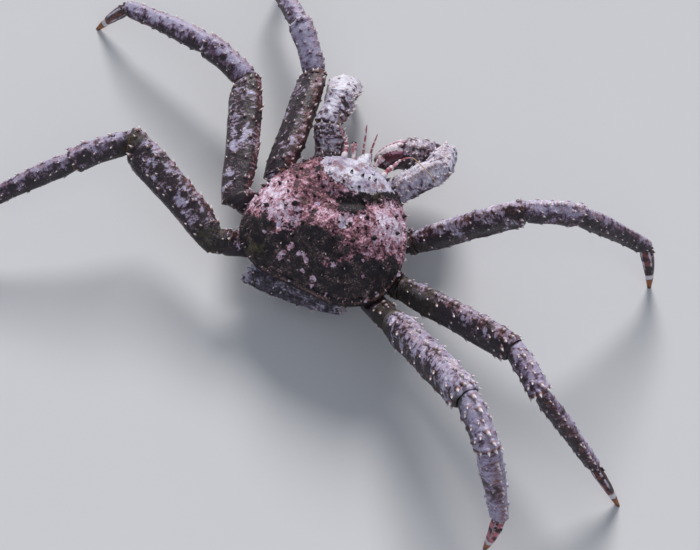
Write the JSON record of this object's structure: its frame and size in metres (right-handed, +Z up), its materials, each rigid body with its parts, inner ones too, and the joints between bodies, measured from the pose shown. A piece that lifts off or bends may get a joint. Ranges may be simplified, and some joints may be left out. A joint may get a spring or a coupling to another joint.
{
  "type": "red king crab",
  "caption": "Life-size red king crab standing with its walking legs spread, claws held before the mouth, and spines over its shell and limbs.",
  "frame": {"origin": "on the floor under the middle of the whole crab", "axes": "+Z up, head towards -Y, the crab's right side towards -X"},
  "size_m": [0.8272, 0.5624, 0.1784],
  "materials": {
    "shell": "rough mottled shell, grey brown with pink and lavender growth",
    "breastplate": "dull pale shell",
    "tail_plates": "dark rough shell",
    "limb_shell": "satin spiny shell, mauve with brown mottling",
    "claw_tips": "smooth horn, dark red brown",
    "feelers": "thin banded shell",
    "eyes": "wet black"
  },
  "bodies": {
    "root": {"abdomen_base": "tail_plates", "abdomen_flap": "tail_plates", "antenna_left": "feelers", "antenna_right": "feelers", "antennule_left": "feelers", "antennule_right": "feelers", "carapace": "shell", "claw_left_base": "limb_shell", "claw_left_carpus": "limb_shell", "claw_left_finger": "limb_shell", "claw_left_merus": "limb_shell", "claw_left_palm": "limb_shell", "claw_right_base": "limb_shell", "claw_right_carpus": "limb_shell", "claw_right_finger": "limb_shell", "claw_right_merus": "limb_shell", "claw_right_palm": "limb_shell", "eye_left": "eyes", "eye_right": "eyes", "leg_1_left_base": "limb_shell", "leg_1_left_carpus": "limb_shell", "leg_1_left_dactyl": "claw_tips", "leg_1_left_merus": "limb_shell", "leg_1_left_propodus": "limb_shell", "leg_1_right_base": "limb_shell", "leg_1_right_carpus": "limb_shell", "leg_1_right_dactyl": "claw_tips", "leg_1_right_merus": "limb_shell", "leg_1_right_propodus": "limb_shell", "leg_2_left_base": "limb_shell", "leg_2_left_carpus": "limb_shell", "leg_2_left_dactyl": "claw_tips", "leg_2_left_merus": "limb_shell", "leg_2_left_propodus": "limb_shell", "leg_2_right_base": "limb_shell", "leg_2_right_carpus": "limb_shell", "leg_2_right_dactyl": "claw_tips", "leg_2_right_merus": "limb_shell", "leg_2_right_propodus": "limb_shell", "leg_3_left_base": "limb_shell", "leg_3_left_carpus": "limb_shell", "leg_3_left_dactyl": "claw_tips", "leg_3_left_merus": "limb_shell", "leg_3_left_propodus": "limb_shell", "leg_3_right_base": "limb_shell", "leg_3_right_carpus": "limb_shell", "leg_3_right_dactyl": "claw_tips", "leg_3_right_merus": "limb_shell", "leg_3_right_propodus": "limb_shell", "maxilliped_left": "feelers", "maxilliped_right": "feelers", "telson": "tail_plates", "thorax": "breastplate"}
  },
  "joints": []
}
